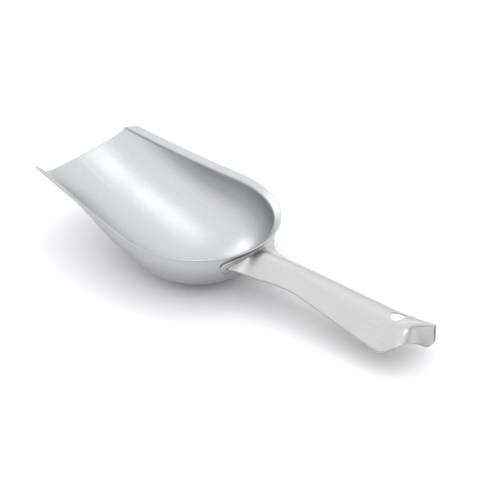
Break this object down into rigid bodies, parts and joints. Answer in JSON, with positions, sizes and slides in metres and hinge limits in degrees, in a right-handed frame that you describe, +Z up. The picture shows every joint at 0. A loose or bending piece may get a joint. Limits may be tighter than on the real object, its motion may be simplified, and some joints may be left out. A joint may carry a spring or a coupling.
{
  "type": "ice scoop",
  "caption": "Sheet-metal scoop: deep-drawn open bowl with a turned-out lip, and a pressed channel handle with a hanging hole and a closed tail fin, spot-welded to the back of the bowl.",
  "frame": {"origin": "under the middle of the scoop's length and width, on the surface that the bowl's heel rests on", "axes": "+X from the mouth towards the tail of the handle, +Y across the bowl, +Z up out of the open bowl"},
  "size_m": [0.2371, 0.0914, 0.0455],
  "materials": {
    "bowl_steel": "bright satin",
    "handle_steel": "bright satin",
    "weld_steel": "dull"
  },
  "bodies": {
    "root": {"bowl": "bowl_steel", "handle": "handle_steel", "spot_welds": "weld_steel"}
  },
  "joints": []
}
